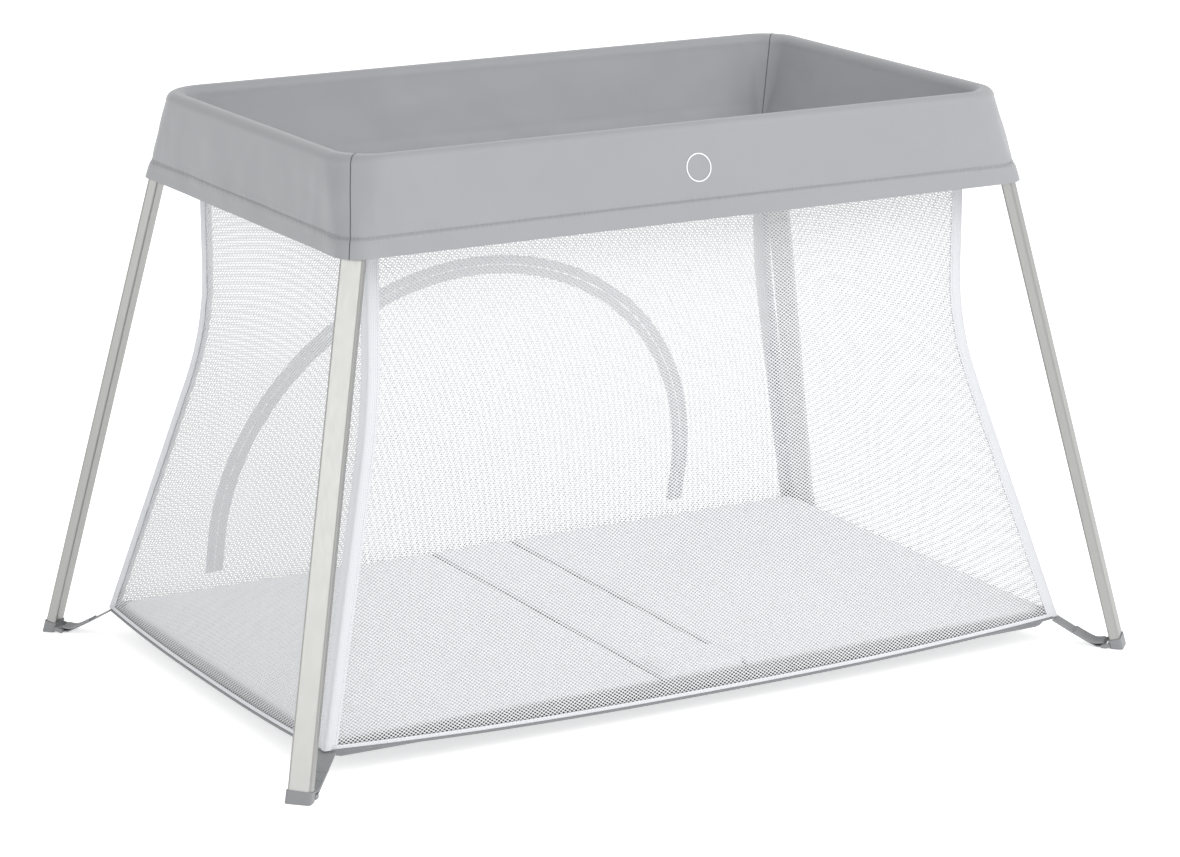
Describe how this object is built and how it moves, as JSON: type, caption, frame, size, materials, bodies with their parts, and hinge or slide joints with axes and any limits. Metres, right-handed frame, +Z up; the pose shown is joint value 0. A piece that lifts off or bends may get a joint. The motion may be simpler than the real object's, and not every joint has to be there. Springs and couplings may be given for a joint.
{
  "type": "folding playpen",
  "caption": "Folding playpen with a soft top band over a hinged rail, splayed flat legs, see-through net walls, an arched zip door and a folding mattress.",
  "frame": {"origin": "centre of the four feet on the ground", "axes": "+X along the long sides, +Y towards the wall with the door, +Z up"},
  "size_m": [1.1504, 0.748, 0.6915],
  "materials": {
    "aluminium_tube": "satin",
    "grey_plastic": "fine grain",
    "button_plastic": "smooth",
    "bolt_metal": "zinc",
    "steel": "zinc",
    "zip_metal": "grey enamel",
    "ring_print": "plain ring",
    "grey_fabric": "plain woven polyester",
    "white_net": "open net",
    "white_tape": "woven tape",
    "zip_tape": "woven tape",
    "grey_webbing": "flat webbing",
    "base_cloth": "coated cloth",
    "board": "sheet",
    "mattress_cloth": "brushed knit"
  },
  "bodies": {
    "walls_and_floor": {"floor_sheet": "base_cloth", "front_mesh_wall": "white_net", "back_mesh_wall": "white_net", "left_mesh_wall": "white_net", "right_mesh_wall": "white_net", "corner_seam_tapes": "white_tape", "bottom_binding": "white_tape", "mattress_strip": "mattress_cloth", "left_floor_straps": "grey_webbing", "right_floor_straps": "grey_webbing", "doorway_tape": "zip_tape"},
    "zip_slider": {"zipper_slider": "zip_metal"},
    "zip_pull": {"zipper_pull": "zip_metal"},
    "mattress_left": {"left_mattress_pad": "mattress_cloth", "left_mattress_board": "board"},
    "mattress_right": {"right_mattress_pad": "mattress_cloth", "right_mattress_board": "board"},
    "door": {"door_flap": "white_net", "door_edge_tape": "zip_tape"},
    "hubs": {"hub_outer_shells": "grey_plastic", "hub_inner_shells": "grey_plastic", "hub_pivot_pins": "steel", "button_springs": "steel", "front_hub_cover": "grey_fabric", "back_hub_cover": "grey_fabric", "ring_mark": "ring_print"},
    "front_button": {"front_latch_button": "button_plastic", "front_latch_bolt": "bolt_metal"},
    "back_button": {"back_latch_button": "button_plastic", "back_latch_bolt": "bolt_metal"},
    "left_frame": {"left_end_rail": "aluminium_tube", "left_front_rail": "aluminium_tube", "left_back_rail": "aluminium_tube", "left_front_corner": "grey_plastic", "left_back_corner": "grey_plastic", "left_rail_end_plugs": "grey_plastic", "left_leg_pivot_pins": "steel", "left_corner_screws": "steel", "left_rim_band": "grey_fabric"},
    "right_frame": {"right_end_rail": "aluminium_tube", "right_front_rail": "aluminium_tube", "right_back_rail": "aluminium_tube", "right_front_corner": "grey_plastic", "right_back_corner": "grey_plastic", "right_rail_end_plugs": "grey_plastic", "right_leg_pivot_pins": "steel", "right_corner_screws": "steel", "right_rim_band": "grey_fabric"},
    "front_left_leg": {"front_left_leg_tube": "aluminium_tube", "front_left_leg_knuckle": "grey_plastic", "front_left_foot_cap": "grey_plastic"},
    "front_right_leg": {"front_right_leg_tube": "aluminium_tube", "front_right_leg_knuckle": "grey_plastic", "front_right_foot_cap": "grey_plastic"},
    "back_left_leg": {"back_left_leg_tube": "aluminium_tube", "back_left_leg_knuckle": "grey_plastic", "back_left_foot_cap": "grey_plastic"},
    "back_right_leg": {"back_right_leg_tube": "aluminium_tube", "back_right_leg_knuckle": "grey_plastic", "back_right_foot_cap": "grey_plastic"}
  },
  "joints": [
    {"name": "rail_drop", "type": "slide", "parent": "walls_and_floor", "child": "hubs", "axis": [0, 0, -1], "range_m": [0, 0.4806], "deforming": ["floor_sheet", "front_mesh_wall", "back_mesh_wall", "left_mesh_wall", "right_mesh_wall", "corner_seam_tapes", "bottom_binding", "left_floor_straps", "right_floor_straps", "doorway_tape", "door_flap", "door_edge_tape", "left_rim_band", "right_rim_band", "front_hub_cover", "back_hub_cover"]},
    {"name": "left_rail_fold", "type": "hinge", "parent": "hubs", "child": "left_frame", "pos_m": [-0.0175, 0, 0.6793], "axis": [0, 1, 0], "range_deg": [0, 90.3]},
    {"name": "right_rail_fold", "type": "hinge", "parent": "hubs", "child": "right_frame", "pos_m": [0.0175, 0, 0.6793], "axis": [0, -1, 0], "range_deg": [0, 90.3]},
    {"name": "front_left_leg_fold", "type": "hinge", "parent": "left_frame", "child": "front_left_leg", "pos_m": [-0.43483, -0.26473, 0.6001], "axis": [0, -1, 0], "range_deg": [0, 102.08]},
    {"name": "front_right_leg_fold", "type": "hinge", "parent": "right_frame", "child": "front_right_leg", "pos_m": [0.43483, -0.26473, 0.6001], "axis": [0, 1, 0], "range_deg": [0, 102.08]},
    {"name": "back_left_leg_fold", "type": "hinge", "parent": "left_frame", "child": "back_left_leg", "pos_m": [-0.43483, 0.26473, 0.6001], "axis": [0, -1, 0], "range_deg": [0, 102.08]},
    {"name": "back_right_leg_fold", "type": "hinge", "parent": "right_frame", "child": "back_right_leg", "pos_m": [0.43483, 0.26473, 0.6001], "axis": [0, 1, 0], "range_deg": [0, 102.08]},
    {"name": "mattress_left_fold", "type": "hinge", "parent": "walls_and_floor", "child": "mattress_left", "pos_m": [-0.058, 0, 0.0439], "axis": [0, 1, 0], "range_deg": [0, 90.3]},
    {"name": "mattress_right_fold", "type": "hinge", "parent": "walls_and_floor", "child": "mattress_right", "pos_m": [0.058, 0, 0.0439], "axis": [0, -1, 0], "range_deg": [0, 90.3]},
    {"name": "door_swing", "type": "hinge", "parent": "walls_and_floor", "child": "door", "pos_m": [0, 0.30135, 0.06], "axis": [-1, 0, 0], "range_deg": [0, 100]},
    {"name": "zip_slide", "type": "slide", "parent": "walls_and_floor", "child": "zip_slider", "axis": [0, -0.2191, 0.9757], "range_m": [0, 0.06]},
    {"name": "zip_pull_flip", "type": "hinge", "parent": "zip_slider", "child": "zip_pull", "pos_m": [0.313, 0.30068, 0.10575], "axis": [1, 0, 0], "range_deg": [0, 150]},
    {"name": "front_button_press", "type": "slide", "parent": "hubs", "child": "front_button", "axis": [0, 1, 0], "range_m": [0, 0.004], "stiffness_N_per_m": 400, "springref_m": -0.004, "deforming": ["button_springs"]},
    {"name": "back_button_press", "type": "slide", "parent": "hubs", "child": "back_button", "axis": [0, -1, 0], "range_m": [0, 0.004], "stiffness_N_per_m": 400, "springref_m": -0.004, "deforming": ["button_springs"]}
  ],
  "couplings": [
    {"joint": "left_rail_fold", "follows": "rail_drop", "rad_per_m": 3.2684},
    {"joint": "right_rail_fold", "follows": "rail_drop", "rad_per_m": 3.2684},
    {"joint": "front_left_leg_fold", "follows": "rail_drop", "rad_per_m": 3.6963},
    {"joint": "front_right_leg_fold", "follows": "rail_drop", "rad_per_m": 3.6963},
    {"joint": "back_left_leg_fold", "follows": "rail_drop", "rad_per_m": 3.6963},
    {"joint": "back_right_leg_fold", "follows": "rail_drop", "rad_per_m": 3.6963},
    {"joint": "mattress_left_fold", "follows": "rail_drop", "rad_per_m": 3.2684},
    {"joint": "mattress_right_fold", "follows": "rail_drop", "rad_per_m": 3.2684}
  ]
}
